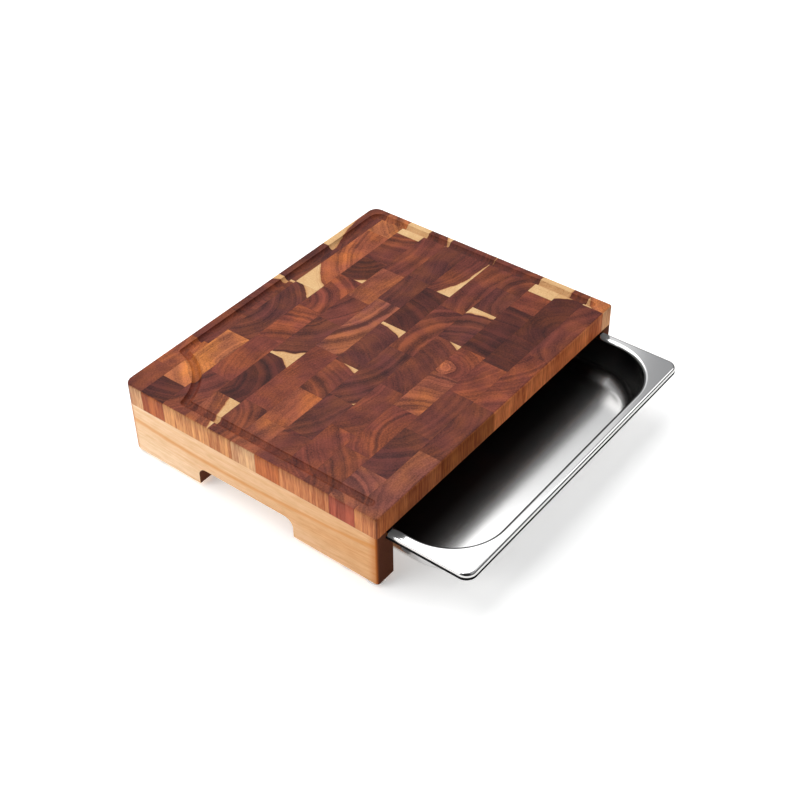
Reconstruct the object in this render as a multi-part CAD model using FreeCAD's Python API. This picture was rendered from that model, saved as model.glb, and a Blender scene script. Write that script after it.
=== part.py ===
import FreeCAD, Part
import os
from math import degrees, radians, sqrt, tan

from FreeCAD import Vector

# Cutting board of end-grain wood on two side rails, with one sheet-steel tray that slides
# under it.  Millimetres, +Z up.  The origin is the centre of the board's top face.  X runs
# along the front edge, the front faces -Y, and the tray is pulled out towards -Y.

# --- board ---------------------------------------------------------------------------------
board_width = 350.0            # along X
board_depth = 280.0            # along Y
board_thickness = 21.0
front_corner_radius = 3.0      # plan corners, shared by the board and the rails under it
back_corner_radius = 10.0
top_edge_radius = 2.0          # sanded edge round the top face

# --- glued rows of end-grain blocks ------------------------------------------------------------
row_count = 11
row_pitch = 26.2               # the front and back rows are trimmed to what is left
shortest_block = 6.0
# glue joints of each row, measured from the left edge, front row first
block_joints = [
    (84.5, 159, 242, 333),
    (41.5, 99.5, 160.5, 210.5, 258, 337.5),
    (52, 117, 174.5, 215, 291, 321),
    (67, 132.5, 215.5, 269.5, 308),
    (41, 96, 178, 254),
    (39, 86.5, 135, 203, 269),
    (47, 139.5, 228, 274),
    (40.5, 107.5, 174, 215, 269),
    (57, 122, 177.5, 237.5, 274, 325),
    (27.5, 64, 109.5, 203, 311.5),
    (39.5, 84, 134.5, 202.5, 267.5, 333),
]

# --- juice groove: left, back and right, scalloped round the back left corner ---------------------
groove_depth = 3.5
groove_cutter_radius = 4.25    # ball-ended cutter
groove_inset_left = 13.0       # board edge to groove centre line
groove_inset_back = 12.5
groove_inset_right = 11.5
groove_corner_radius = 6.0     # centre line, back right corner
groove_end_inset = 12.5        # front edge of the board to each end of the groove
scallop_radius = 64.0          # centre line, about the back left corner

# --- side rails ------------------------------------------------------------------------------
rail_height = 53.0
rail_thickness = 20.0
rail_edge_radius = 1.2         # sanded edge round the foot of each leg
front_leg_length = 90.0        # front face to the arch
arch_length = 107.0
arch_height = 20.0
arch_corner_radius = 9.0

# --- runner slot: a rabbet along the top inner edge of each rail --------------------------------------
slot_depth = 9.0               # into the rail, along X
slot_height = 9.0
slot_corner_radius = 1.4

# --- steel tray ------------------------------------------------------------------------------
sheet_thickness = 0.8
tray_side_clearance = 1.5      # flange edge to slot wall, each side
tray_runner_clearance = 0.2    # lip to slot floor
tray_depth_front_to_back = 265.0
tray_height = 40.0             # top of the flange to the underside of the pan
tray_corner_radius = 10.0
flange_width = 10.0            # flange edge to pan opening
lip_height = 6.4
lip_bend_radius = 3.0          # outside of the bend
rim_radius = 4.0               # inside of the bend between flange and pan wall
pan_corner_radius = 50.0       # at the opening
pan_wall_angle = 6.0           # degrees from upright
pan_floor_radius = 16.0        # inside
tray_pull_out = 87.0           # how far the tray stands out from its shut place

# --- screws up through each rail into the board -------------------------------------------------------
screw_length = 42.0
screw_diameter = 4.0
screw_tip_length = 5.0
screw_point_diameter = 0.7
screw_head_diameter = 8.0
screw_head_height = 2.6
screw_head_edge_radius = 0.8
screw_recess_length = 4.8      # cross recess, tip to tip
screw_recess_width = 1.0
screw_recess_depth = 1.4
screw_hold = 12.0              # length of screw inside the board
screw_hole_clearance = 0.25    # round the shank, in the rail
head_bore_clearance = 0.5      # round the head
screw_rows = (2, 6, 10)        # the rows that the screws go into, counted from the front

# --- foot pads -------------------------------------------------------------------------------
foot_diameter = 15.0
foot_height = 3.0
foot_edge_radius = 1.0
foot_edge_margin = 0.5         # front pads to the faces of the rail; back pads sit round the corner's centre

# --- for making the cuts -----------------------------------------------------------------------
past_face = 1.0                # how far a cutting solid runs past the face that it cuts
same_place = 1e-4              # two places closer than this are the same one

# --- worked out from the sizes above -------------------------------------------------------------
half_width = board_width / 2
front_y = -board_depth / 2
back_y = board_depth / 2
board_low = -board_thickness
rail_low = board_low - rail_height
foot_low = rail_low - foot_height
rail_inner_x = half_width - rail_thickness
slot_wall_x = rail_inner_x + slot_depth
slot_floor = board_low - slot_height
screw_x = (half_width + slot_wall_x) / 2
screw_tip_z = board_low + screw_hold
screw_seat_z = screw_tip_z - screw_length
tray_half_width = slot_wall_x - tray_side_clearance
flange_top = slot_floor + tray_runner_clearance + lip_height
tray_low = flange_top - tray_height
tray_shut_front_y = -tray_depth_front_to_back / 2
tray_front_y = tray_shut_front_y - tray_pull_out
tray_centre_y = tray_front_y + tray_depth_front_to_back / 2
end_row_depth = (board_depth - (row_count - 2) * row_pitch) / 2
row_edges = [front_y]
row_edges += [front_y + end_row_depth + step * row_pitch for step in range(row_count - 1)]
row_edges += [back_y]


def box_between(x_low, x_high, y_low, y_high, z_low, z_high):
    corner = Vector(x_low, y_low, z_low)
    return Part.makeBox(x_high - x_low, y_high - y_low, z_high - z_low, corner)


def at(place, other):
    return abs(place - other) < same_place


def spans(edge, low, high, axis):
    """True for an edge whose two ends lie at low and high along one axis."""
    ends = [getattr(vertex.Point, axis) for vertex in edge.Vertexes]
    return len(ends) == 2 and at(min(ends), low) and at(max(ends), high)


def lies_at(edge, height):
    return at(edge.BoundBox.ZMin, height) and at(edge.BoundBox.ZMax, height)


def outline_prism(z_low, z_high):
    """The board's plan outline, rounded at its four corners, between two heights."""
    prism = box_between(-half_width, half_width, front_y, back_y, z_low, z_high)
    for corner_y, radius in ((front_y, front_corner_radius), (back_y, back_corner_radius)):
        uprights = [edge for edge in prism.Edges
                    if spans(edge, z_low, z_high, "z") and spans(edge, corner_y, corner_y, "y")]
        prism = prism.makeFillet(radius, uprights)
    return prism


def groove_cuts():
    """Solids that the ball-ended cutter sweeps along the juice groove."""
    height = groove_cutter_radius - groove_depth
    left = -half_width + groove_inset_left
    right = half_width - groove_inset_right
    back = back_y - groove_inset_back
    front = front_y + groove_end_inset + sqrt(groove_cutter_radius ** 2 - height ** 2)
    bend = groove_corner_radius
    scallop_left_y = back_y - sqrt(scallop_radius ** 2 - groove_inset_left ** 2)
    scallop_back_x = -half_width + sqrt(scallop_radius ** 2 - groove_inset_back ** 2)

    def ball(x, y):
        return Part.makeSphere(groove_cutter_radius, Vector(x, y, height))

    def straight(x, y, length, direction):
        return Part.makeCylinder(groove_cutter_radius, length, Vector(x, y, height), direction)

    def bent(centre_x, centre_y, start_x, start_y, along, degrees):
        ring = Part.makeCircle(groove_cutter_radius, Vector(start_x, start_y, height), along)
        disc = Part.Face(Part.Wire(ring))
        return disc.revolve(Vector(centre_x, centre_y, height), Vector(0, 0, 1), degrees)

    corner = Vector(-half_width, back_y, 0)
    reach = Vector(groove_inset_left, scallop_left_y - back_y, 0)
    over = Vector(scallop_back_x + half_width, -groove_inset_back, 0)
    sweep = degrees(reach.getAngle(over))
    tangent = Vector(-reach.y, reach.x, 0)
    return [
        ball(left, front),
        straight(left, front, scallop_left_y - front, Vector(0, 1, 0)),
        ball(left, scallop_left_y),
        bent(corner.x, corner.y, left, scallop_left_y, tangent, sweep),
        ball(scallop_back_x, back),
        straight(scallop_back_x, back, right - bend - scallop_back_x, Vector(1, 0, 0)),
        bent(right - bend, back - bend, right - bend, back, Vector(1, 0, 0), -90),
        straight(right, front, back - bend - front, Vector(0, 1, 0)),
        ball(right, front),
    ]


def screw_places():
    for row in screw_rows:
        y = (row_edges[row - 1] + row_edges[row]) / 2
        for side in (-1, 1):
            yield side * screw_x, y


def rounded_board():
    """The finished board in one piece: rounded, grooved and drilled."""
    board = outline_prism(board_low, 0)
    top_edges = [edge for edge in board.Edges if lies_at(edge, 0)]
    board = board.makeFillet(top_edge_radius, top_edges)
    for cutter in groove_cuts():
        board = board.cut(cutter)
    for x, y in screw_places():
        board = board.cut(screw_shank(x, y))
    return board


def block_row(board, row):
    """One glued row, as its separate end-grain blocks."""
    low, high = row_edges[row], row_edges[row + 1]
    last = board_width - shortest_block
    joints = [place - half_width for place in block_joints[row % len(block_joints)] if place < last]
    ends = [-half_width] + joints + [half_width]
    blocks = []
    for start, stop in zip(ends, ends[1:]):
        cell = box_between(start, stop, low, high, board_low, 0)
        blocks += board.common(cell).Solids
    return Part.makeCompound(blocks)


def arch_cut():
    """The long notch between the two legs of the right-hand rail."""
    start = front_y + front_leg_length
    inner = rail_inner_x - past_face
    outer = half_width + past_face
    top = rail_low + arch_height
    arch = box_between(inner, outer, start, start + arch_length, rail_low - past_face, top)
    upper = [edge for edge in arch.Edges if spans(edge, inner, outer, "x") and lies_at(edge, top)]
    return arch.makeFillet(arch_corner_radius, upper)


def slot_cut():
    """The runner slot of the right-hand rail, which runs out through both its ends."""
    inner = rail_inner_x - past_face
    front = front_y - past_face
    back = back_y + past_face
    slot = box_between(inner, slot_wall_x, front, back, slot_floor, board_low)
    corner = [edge for edge in slot.Edges
              if spans(edge, slot_wall_x, slot_wall_x, "x") and lies_at(edge, slot_floor)]
    return slot.makeFillet(slot_corner_radius, corner)


def right_rail():
    rail = outline_prism(rail_low, board_low)
    rail = rail.common(box_between(rail_inner_x, half_width, front_y, back_y, rail_low, board_low))
    rail = rail.cut(arch_cut())
    rail = rail.makeFillet(rail_edge_radius, [edge for edge in rail.Edges if lies_at(edge, rail_low)])
    rail = rail.cut(slot_cut())
    hole_radius = screw_diameter / 2 + screw_hole_clearance
    bore_radius = screw_head_diameter / 2 + head_bore_clearance
    up = Vector(0, 0, 1)
    for x, y in screw_places():
        if x > 0:
            low = Vector(x, y, rail_low - past_face)
            seat = screw_seat_z - low.z
            rail = rail.cut(Part.makeCylinder(hole_radius, board_low - low.z, low, up))
            rail = rail.cut(Part.makeCylinder(bore_radius, seat, low, up))
    return rail


def left_rail():
    return right_rail().mirror(Vector(0, 0, 0), Vector(1, 0, 0))


def screw_shank(x, y):
    """Shank and point, from the seat under the head to the tip inside the board."""
    radius = screw_diameter / 2
    straight = screw_length - screw_tip_length
    shank = Part.makeCylinder(radius, straight, Vector(x, y, screw_seat_z))
    top = Vector(x, y, screw_seat_z + straight)
    point = Part.makeCone(radius, screw_point_diameter / 2, screw_tip_length, top)
    return shank.fuse(point).removeSplitter()


def screw(x, y):
    low = screw_seat_z - screw_head_height
    head = Part.makeCylinder(screw_head_diameter / 2, screw_head_height, Vector(x, y, low))
    rim = [edge for edge in head.Edges if lies_at(edge, low)]
    head = head.makeFillet(screw_head_edge_radius, rim)
    top = low + screw_recess_depth
    long, wide = screw_recess_length / 2, screw_recess_width / 2
    for arm_x, arm_y in ((long, wide), (wide, long)):
        arm = box_between(x - arm_x, x + arm_x, y - arm_y, y + arm_y, low - past_face, top)
        head = head.cut(arm)
    return head.fuse(screw_shank(x, y)).removeSplitter()


def rail_screws(side):
    return Part.makeCompound([screw(x, y) for x, y in screw_places() if x * side > 0])


def foot(side_x, side_y):
    """Silicone pad under one end of a rail; side_y is -1 at the front and 1 at the back."""
    inset = foot_edge_margin + foot_diameter / 2
    if side_y > 0:
        inset = max(inset, back_corner_radius)
    centre = Vector(side_x * (half_width - inset), side_y * (back_y - inset), foot_low)
    pad = Part.makeCylinder(foot_diameter / 2, foot_height, centre)
    lower = [edge for edge in pad.Edges if lies_at(edge, foot_low)]
    return pad.makeFillet(foot_edge_radius, lower)


def rounded_rectangle(half_x, half_y, radius, height):
    """Closed wire round the tray's centre."""
    corner_x, corner_y = half_x - radius, half_y - radius
    diagonal = radius / sqrt(2)
    edges = []
    here = Vector(half_x, tray_centre_y - corner_y, height)
    for sign_x, sign_y in ((1, 1), (-1, 1), (-1, -1), (1, -1)):
        centre = Vector(sign_x * corner_x, tray_centre_y + sign_y * corner_y, height)
        on_x = centre + Vector(sign_x * radius, 0, 0)
        on_y = centre + Vector(0, sign_y * radius, 0)
        middle = centre + Vector(sign_x * diagonal, sign_y * diagonal, 0)
        first, last = (on_x, on_y) if sign_x == sign_y else (on_y, on_x)
        edges.append(Part.makeLine(here, first))
        edges.append(Part.Arc(first, middle, last).toShape())
        here = last
    return Part.Wire(edges)


def flange_block(inset, z_low):
    """The flange with its turned-down lip as a solid block, drawn in by one sheet or none."""
    half_x = tray_half_width - inset
    half_y = tray_depth_front_to_back / 2 - inset
    top = flange_top - inset
    outline = rounded_rectangle(half_x, half_y, tray_corner_radius - inset, z_low)
    block = Part.Face(outline).extrude(Vector(0, 0, top - z_low))
    return block.makeFillet(lip_bend_radius - inset, [e for e in block.Edges if lies_at(e, top)])


def pan_body(sheet, floor, z_top):
    """The pan's hollow, or with a sheet's thickness added, its outside."""
    lean = tan(radians(pan_wall_angle))
    half_x = tray_half_width - flange_width
    half_y = tray_depth_front_to_back / 2 - flange_width

    def section(height):
        shrink = (flange_top - height) * lean - sheet
        return rounded_rectangle(half_x - shrink, half_y - shrink, pan_corner_radius - shrink, height)

    body = Part.makeLoft([section(floor), section(z_top)], True, True)
    return body.makeFillet(pan_floor_radius + sheet, [e for e in body.Edges if lies_at(e, floor)])


def around_opening(edge, height, reach):
    """True for an edge at a height, round the pan's opening and not round the flange's rim."""
    box = edge.BoundBox
    return lies_at(edge, height) and max(abs(box.XMin), abs(box.XMax)) < reach


def steel_tray():
    lip_low = flange_top - lip_height
    sheet = flange_block(0, lip_low).cut(flange_block(sheet_thickness, lip_low))
    sheet = sheet.fuse(pan_body(sheet_thickness, tray_low, flange_top)).removeSplitter()
    reach = tray_half_width - flange_width / 2
    under = flange_top - sheet_thickness
    junction = [e for e in sheet.Edges if around_opening(e, under, reach)]
    sheet = sheet.makeFillet(rim_radius - sheet_thickness, junction)
    sheet = sheet.cut(pan_body(0, tray_low + sheet_thickness, flange_top + sheet_thickness))
    rim = [e for e in sheet.Edges if around_opening(e, flange_top, reach)]
    return sheet.makeFillet(rim_radius, rim)


def save(shape, node):
    shape.exportStep("parts/" + node + ".step")
    print(node, len(shape.Solids), "solids", round(shape.Volume / 1000, 2), "cm3", shape.isValid())


os.makedirs("parts", exist_ok=True)
whole_board = rounded_board()
for row in range(row_count):
    save(block_row(whole_board, row), "block_row_%02d" % (row + 1))
save(left_rail(), "left_rail")
save(right_rail(), "right_rail")
save(rail_screws(-1), "left_rail_screws")
save(rail_screws(1), "right_rail_screws")
for word_y, side_y in (("front", -1), ("back", 1)):
    for word_x, side_x in (("left", -1), ("right", 1)):
        save(foot(side_x, side_y), "%s_%s_foot" % (word_y, word_x))
save(steel_tray(), "steel_tray")
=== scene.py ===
# %% [markdown]
# # A cutting board over a sliding steel tray
# The board is glued up from end-grain blocks of oiled acacia, stands on two honey-coloured side rails, and
# a stainless pan slides in slots under it.  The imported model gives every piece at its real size, in metres,
# with the origin at the centre of the board's top face and the front towards -Y.  This lesson gives the
# pieces their finish.

from math import cos, pi, radians, sin, tan

import bpy
import numpy as np
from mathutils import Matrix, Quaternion, Vector


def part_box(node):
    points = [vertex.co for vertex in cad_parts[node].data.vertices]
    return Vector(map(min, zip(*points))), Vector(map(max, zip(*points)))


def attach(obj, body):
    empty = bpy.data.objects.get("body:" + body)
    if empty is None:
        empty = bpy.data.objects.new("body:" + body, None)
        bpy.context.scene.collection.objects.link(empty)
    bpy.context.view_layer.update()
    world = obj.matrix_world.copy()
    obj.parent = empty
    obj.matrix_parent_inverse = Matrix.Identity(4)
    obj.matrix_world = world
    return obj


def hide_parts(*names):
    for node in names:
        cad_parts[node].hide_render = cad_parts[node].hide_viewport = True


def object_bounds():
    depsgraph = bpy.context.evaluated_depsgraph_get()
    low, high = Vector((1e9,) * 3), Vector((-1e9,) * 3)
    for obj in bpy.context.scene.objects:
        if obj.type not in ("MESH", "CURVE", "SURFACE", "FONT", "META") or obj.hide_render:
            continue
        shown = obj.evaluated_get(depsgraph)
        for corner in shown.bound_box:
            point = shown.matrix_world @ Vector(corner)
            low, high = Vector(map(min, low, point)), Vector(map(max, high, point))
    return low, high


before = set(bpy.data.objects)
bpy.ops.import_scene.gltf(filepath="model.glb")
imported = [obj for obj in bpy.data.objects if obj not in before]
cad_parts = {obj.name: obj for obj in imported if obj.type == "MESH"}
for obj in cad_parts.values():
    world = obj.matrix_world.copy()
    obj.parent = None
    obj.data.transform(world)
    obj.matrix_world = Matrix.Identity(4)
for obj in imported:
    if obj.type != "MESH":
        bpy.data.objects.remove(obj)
cad_low, cad_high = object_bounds()
MM = 0.001
print("nodes:", len(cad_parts), " box in mm:", [round(v / MM, 1) for v in (*cad_low, *cad_high)])

# %% [markdown]
# ## A few helpers
# Colours are written as sRGB hex, the way a paint chart gives them, and turned to the linear values that a
# shader works in.  Shader nodes are added with one function, so that a material reads as a list of steps.
# Inputs are given by name, or by number where several share a name: a Map Range goes from 1..2 to 3..4, and
# a Mix node has its factor in 0, its two numbers in 2 and 3, and its two colours in 6 and 7.

# %% colours, nodes and objects


def linear(hex_colour):
    """An sRGB hex colour as linear red, green, blue and alpha."""
    srgb = np.array([int(hex_colour[i:i + 2], 16) for i in (1, 3, 5)]) / 255
    rgb = np.where(srgb <= 0.04045, srgb / 12.92, ((srgb + 0.055) / 1.055) ** 2.4)
    return (*rgb.tolist(), 1.0)


def add(tree, kind, inputs=None, out=0, **settings):
    """Adds one node with its settings, and sets each input or links it from a socket; gives one output."""
    node = tree.nodes.new(kind)
    for name, value in settings.items():
        setattr(node, name, value)
    for key, value in (inputs or {}).items():
        if isinstance(value, bpy.types.NodeSocket):
            tree.links.new(value, node.inputs[key])
        else:
            node.inputs[key].default_value = value
    return node.outputs[out] if node.outputs else node


def new_material(name):
    """An empty node material and its tree."""
    made = bpy.data.materials.new(name)
    made.use_nodes = True
    made.node_tree.nodes.clear()
    return made, made.node_tree


def new_object(name, data):
    """An object at the origin that holds this mesh, light or camera."""
    made = bpy.data.objects.new(name, data)
    bpy.context.scene.collection.objects.link(made)
    return made


def finish_node(node, material):
    """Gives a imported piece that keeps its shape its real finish."""
    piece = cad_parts[node]
    piece.data.materials.clear()
    piece.data.materials.append(material)


print("brown as linear:", [round(v, 3) for v in linear("#6b3c32")])

# %% [markdown]
# ## The end-grain blocks
# Each block is a short piece of a plank stood on end, so its top shows growth rings as arcs about the
# tree's pith, which usually lies outside the block.  Where an arc is far enough from the pith, the brown
# heartwood gives way to cream sapwood.  So a block needs only four facts: the tone of its heartwood, where
# its pith was, how far out the heartwood went, and how strongly its rings show.  They are given below for
# each row from the front, left to right, in millimetres from the board's middle (X) and from its front
# edge (Y).

# %% the tones of acacia heartwood, and the blocks
TONE = {
    "dark": "#4e241d", "umber": "#5b2d26", "chestnut": "#643126", "russet": "#6a3428", "copper": "#75392a",
    "rose": "#7b4334", "cedar": "#854731", "amber": "#8e4b30", "honey": "#a35f39",
}
ALL_HEART = 9999.0
# (tone, pith X, pith Y, heartwood radius, ring strength)
BLOCKS = [
    [("rose", -120, -60, ALL_HEART, 0.6), ("chestnut", -60, 100, ALL_HEART, 0.5),
     ("copper", 80, 80, ALL_HEART, 0.7), ("russet", 110, -40, ALL_HEART, 0.6),
     ("honey", 185, -10, 35, 0.9)],
    [("rose", -195, 60, ALL_HEART, 0.9), ("umber", -60, 75, ALL_HEART, 0.7),
     ("chestnut", -40, 150, ALL_HEART, 0.8), ("copper", 40, 90, ALL_HEART, 0.7),
     ("dark", -30, 40, ALL_HEART, 0.5), ("dark", 110, 15, 51.8, 0.6), ("russet", 170, 0, 39, 0.6)],
    [("russet", -195, 105, ALL_HEART, 0.8), ("copper", -85, 20, ALL_HEART, 0.9),
     ("cedar", -85, 35, ALL_HEART, 1.1), ("copper", 9, 68, ALL_HEART, 1.0),
     ("dark", -40, 60, ALL_HEART, 0.8), ("copper", 220, 70, ALL_HEART, 0.8), ("copper", 60, 62, 60, 0.8)],
    [("copper", -60, 20, ALL_HEART, 0.8), ("russet", -60, 150, ALL_HEART, 0.8),
     ("chestnut", -60, 120, 105, 0.7), ("umber", 0, 60, 92, 1.1), ("umber", 130, 40, ALL_HEART, 0.8),
     ("chestnut", 130, 40, ALL_HEART, 0.9)],
    [("russet", -200, 60, ALL_HEART, 0.6), ("umber", -60, 220, ALL_HEART, 0.9),
     ("umber", -10, 190, 110, 0.9), ("russet", 20, 60, ALL_HEART, 1.0),
     ("russet", 120, 20, ALL_HEART, 0.8)],
    [("cedar", -120, 300, ALL_HEART, 0.5), ("amber", -100, 40, ALL_HEART, 0.5),
     ("russet", -112, 160, 74.5, 0.9), ("umber", -45, 160, 70.5, 0.6), ("dark", 5, 160, ALL_HEART, 0.9),
     ("russet", 165, 300, 173, 1.2)],
    [("russet", -165, 200, ALL_HEART, 1.1), ("copper", -90, 60, ALL_HEART, 0.8),
     ("rose", 40, 240, ALL_HEART, 1.3), ("umber", 60, 300, ALL_HEART, 0.5),
     ("umber", 150, 60, ALL_HEART, 0.6)],
    [("cedar", -183, 290, 108.5, 0.9), ("dark", -120, 216, 59, 1.1), ("umber", 5, 226, 71.5, 1.2),
     ("russet", 45, 238, ALL_HEART, 0.9), ("cedar", 60, 60, ALL_HEART, 0.6),
     ("russet", 121, 291, 117, 0.7)],
    [("russet", -80, 330, ALL_HEART, 0.8), ("copper", -60, 120, ALL_HEART, 0.8),
     ("copper", -100, 190, ALL_HEART, 1.0), ("copper", 8, 236, ALL_HEART, 1.1),
     ("dark", 110, 239, 52, 1.0), ("russet", 190, 235, ALL_HEART, 0.8), ("rose", 60, 215, 60, 0.8)],
    [("dark", -90, 262, ALL_HEART, 1.4), ("honey", -200, 300, ALL_HEART, 0.6),
     ("honey", -90, 160, ALL_HEART, 0.6), ("umber", -28, 284, 66, 1.0), ("amber", 140, 158, 126, 0.8),
     ("honey", 200, 200, ALL_HEART, 0.8)],
    [("russet", -150, 200, ALL_HEART, 0.5), ("amber", -120, 330, ALL_HEART, 0.6),
     ("russet", -60, 330, ALL_HEART, 0.7), ("chestnut", -60, 252, 84, 0.7),
     ("umber", 60, 330, ALL_HEART, 0.7), ("chestnut", 152, 168, 111.5, 0.8),
     ("chestnut", 120, 200, ALL_HEART, 0.7)],
]
KNOTS = {(2, 3): 9.5}          # (row, block), both counted from 0: the radius of the knot's pale core
print("rows:", len(BLOCKS), " blocks:", sum(len(row) for row in BLOCKS))

# %% [markdown]
# On the board's upright faces the same blocks show their long grain.  It drinks less oil than end grain and
# is paler and more orange, and every plank has its own tone.  So each block also gets a side tone, by its
# row on the left and right faces, and by its place in the row on the front and back.

# %% the tones of the long grain
LONG_GRAIN = {
    "clay": "#97442f", "rust": "#a4592b", "brick": "#aa5a2d", "cinnamon": "#b36337", "ember": "#d27543",
    "copper": "#d67844", "tan": "#bd7648", "sand": "#c18250", "straw": "#c8976c", "wheat": "#d69a6c",
}
LEFT_FACE = ["tan", "clay", "tan", "tan", "brick", "straw", "sand", "sand", "sand", "brick", "straw"]
FRONT_FACE = ["cinnamon", "rust", "copper", "ember", "wheat"]
print("side tones:", len(LEFT_FACE), "along the left face,", len(FRONT_FACE), "along the front")

# %% [markdown]
# The shapes of the blocks are already right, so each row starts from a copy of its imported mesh.  That mesh
# is loose triangles, one set per flat or rounded face.  A point just inside each triangle tells which block
# it belongs to; then each block's corners are merged, so that it is one closed shell, and keep the exact
# normals of the faces.  The facts of each block are stored on its corners as attributes, where the material
# can read them.

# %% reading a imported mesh
INSIDE = 0.05 * MM             # how far inside a triangle its block is looked up
SAME_POINT = 0.001 * MM        # corners closer than this are merged
BLOCK_END_AREA = 100 * MM * MM   # a block's end is larger, the groove's wall in one row is smaller
SQUARE_ON = 0.9999             # how much of a normal lies along X on a face across X
NO_LENGTH = 1e-20              # keeps a triangle with no area from dividing by zero


def mesh_arrays(mesh):
    """Corner points, the normal at each triangle's corners, and the triangles of a triangle mesh."""
    points = np.zeros(len(mesh.vertices) * 3)
    mesh.vertices.foreach_get("co", points)
    corners = np.zeros(len(mesh.loops), int)
    mesh.loops.foreach_get("vertex_index", corners)
    normals = np.zeros(len(mesh.loops) * 3)
    mesh.corner_normals.foreach_get("vector", normals)
    return points.reshape(-1, 3), normals.reshape(-1, 3, 3), corners.reshape(-1, 3)


def block_ends(middles, areas, facing):
    """X of each end of a row's blocks: where faces across X add up to more than BLOCK_END_AREA."""
    across = np.abs(facing[:, 0]) > SQUARE_ON
    places = np.round(middles[across, 0] / SAME_POINT).astype(int)
    places, which = np.unique(places, return_inverse=True)
    return places[np.bincount(which, weights=areas[across]) > BLOCK_END_AREA] * SAME_POINT


print("triangles in row 1:", len(mesh_arrays(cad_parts["block_row_01"].data)[2]))

# %% the facts of each block
BOARD_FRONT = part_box("block_row_01")[0].y
BOARD_HALF_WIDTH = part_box("block_row_01")[1].x
BOARD_HALF_DEPTH = -BOARD_FRONT
BARE_EDGE = 3 * MM             # how far an outer block's cell runs past the board: its rim has no joint
ROW_SEED, BLOCK_SEED = 1.7, 3.1   # steps of the noise from row to row and from block to block


def block_facts(node, number, ends):
    """The attributes of a row's blocks, one vector per block: tones, pith, figure and cell.

    pith is the pith's X and Y and the heartwood's radius; figure is the noise seed, the rings' strength and
    the radius of a knot's core; the cell is the box between the block's glue joints."""
    low_y, high_y = (corner.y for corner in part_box(node))
    low_y -= BARE_EDGE * (number == 0)
    high_y += BARE_EDGE * (number == len(BLOCKS) - 1)
    joints = np.concatenate([[ends[0] - BARE_EDGE], ends[1:-1], [ends[-1] + BARE_EDGE]])
    facts = {"tone": [], "pith": [], "figure": [], "cell_low": [], "cell_high": [],
             "side_plank": [], "front_plank": []}
    for block, (tone, pith_x, pith_y, heart_radius, strength) in enumerate(BLOCKS[number]):
        core = KNOTS.get((number, block), -ALL_HEART)
        facts["tone"].append(linear(TONE[tone])[:3])
        facts["pith"].append((pith_x * MM, pith_y * MM + BOARD_FRONT, heart_radius * MM))
        facts["figure"].append((number * ROW_SEED + block * BLOCK_SEED, strength, core * MM))
        facts["cell_low"].append((joints[block], low_y, 0))
        facts["cell_high"].append((joints[block + 1], high_y, 0))
        facts["side_plank"].append(linear(LONG_GRAIN[LEFT_FACE[number]])[:3])
        facts["front_plank"].append(linear(LONG_GRAIN[FRONT_FACE[block % len(FRONT_FACE)]])[:3])
    return facts


print("board in mm:", round(2 * BOARD_HALF_WIDTH / MM, 1), "by", round(2 * BOARD_HALF_DEPTH / MM, 1))

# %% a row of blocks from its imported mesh


def row_piece(node, number):
    """One glued row as closed blocks that carry their facts.

    A triangle belongs to the block whose ends lie either side of the triangle's middle, moved a little
    against its normal.  Corners of one block at one place are merged, and a triangle that loses a corner
    by this is left out."""
    points, normals, triangles = mesh_arrays(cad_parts[node].data)
    edge_a = points[triangles[:, 1]] - points[triangles[:, 0]]
    edge_b = points[triangles[:, 2]] - points[triangles[:, 0]]
    facing = np.cross(edge_a, edge_b)
    length = np.linalg.norm(facing, axis=1)
    facing /= np.maximum(length, NO_LENGTH)[:, None]
    middles = points[triangles].mean(axis=1)
    ends = block_ends(middles, length / 2, facing)
    assert len(ends) == len(BLOCKS[number]) + 1, (node, ends)
    block_of = np.searchsorted(ends, (middles - INSIDE * facing)[:, 0]) - 1
    block_of = np.clip(block_of, 0, len(BLOCKS[number]) - 1)

    keys = np.column_stack([np.repeat(block_of, 3),
                            np.round(points[triangles].reshape(-1, 3) / SAME_POINT)])
    merged, corner_of = np.unique(keys.astype(int), axis=0, return_inverse=True)
    corner_of = corner_of.reshape(-1, 3)
    whole = (corner_of[:, 0] != corner_of[:, 1]) & (corner_of[:, 1] != corner_of[:, 2])
    whole &= corner_of[:, 0] != corner_of[:, 2]
    mesh = bpy.data.meshes.new(node)
    mesh.from_pydata(merged[:, 1:] * SAME_POINT, [], corner_of[whole].tolist())
    mesh.normals_split_custom_set(normals[whole].reshape(-1, 3).tolist())
    for name, values in block_facts(node, number, ends).items():
        layer = mesh.attributes.new(name, "FLOAT_VECTOR", "POINT")
        layer.data.foreach_set("vector", np.array(values)[merged[:, 0]].astype(np.float32).ravel())

    piece = new_object("end_grain_row_%02d" % (number + 1), mesh)
    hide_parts(node)
    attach(piece, "board")
    return piece


rows = [row_piece("block_row_%02d" % (number + 1), number) for number in range(len(BLOCKS))]
print("row 1:", len(rows[0].data.vertices), "corners,", len(rows[0].data.polygons), "triangles")

# %% [markdown]
# ## Oiled acacia, end grain
# Oil soaks deep into end grain and turns it dark and only faintly shiny.  The rings are distances from the
# pith, bent a little by slow noise and drawn with uneven widths.  An image of wood would repeat and stop at
# the edges; rings worked out in space run on down the sides.  The pattern hardly changes with height, which
# the column coordinate does by squeezing Z.

# %% where each point lies in its block
SQUEEZE_Z = (1, 1, 0.08)

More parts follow.
